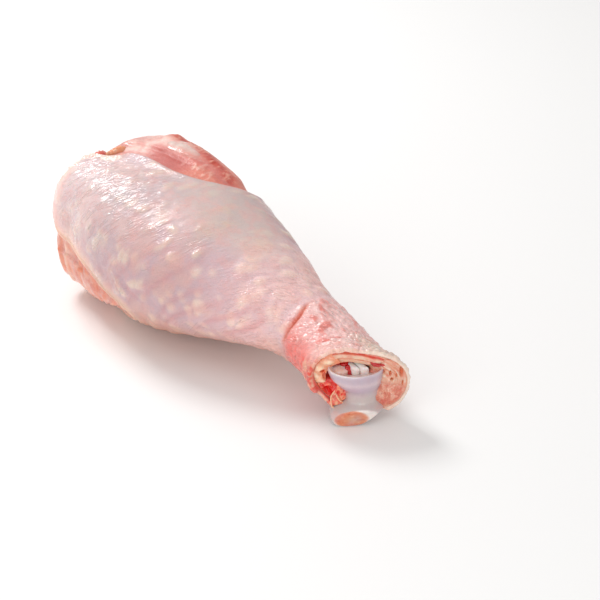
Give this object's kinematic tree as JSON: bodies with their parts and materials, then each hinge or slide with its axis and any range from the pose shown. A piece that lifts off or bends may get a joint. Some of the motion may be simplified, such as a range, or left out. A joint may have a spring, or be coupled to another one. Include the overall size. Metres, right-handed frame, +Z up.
{
  "type": "raw turkey drumstick",
  "caption": "Raw poultry leg with its skin on, lying on its side: thick rounded muscle at the knee end, tapering to a sawn hock with a cartilage knuckle.",
  "frame": {"origin": "on the surface it lies on, under the middle of the leg's bounding box", "axes": "+X along the leg from the knee end to the hock, +Z up, -Y the side that faces the viewer"},
  "size_m": [0.1982, 0.088, 0.0739],
  "materials": {
    "skin": "wet raw poultry skin, pinkish cream, follicle bumps and fine wrinkles",
    "meat": "moist raw dark poultry meat, salmon pink",
    "bone": "wet bluish white joint cartilage over bone, one sawn salmon face",
    "tendon": "wet white tendon, cut square",
    "hock_gristle": "cut cream gristle with vessel holes",
    "hock_pad": "grainy pink fatty tissue",
    "hock_sheath": "layered cream and red tendon sheath",
    "hock_fat": "cream orange lumps of fat",
    "hock_flesh": "torn red flesh, wet",
    "clot": "dark red clotted blood",
    "fascia": "thin shiny membrane over muscle",
    "fat_tag": "small cream orange tag of fat",
    "knee_fat": "cream lumpy fat pad"
  },
  "bodies": {
    "root": {"skin": "skin", "meat": "meat", "bone": "bone", "tendon_1": "tendon", "tendon_2": "tendon", "hock_gristle": "hock_gristle", "hock_pad": "hock_pad", "hock_sheath": "hock_sheath", "hock_fat": "hock_fat", "hock_flesh": "hock_flesh", "clot": "clot", "fascia": "fascia", "fat_tag": "fat_tag", "knee_fat": "knee_fat"}
  },
  "joints": []
}
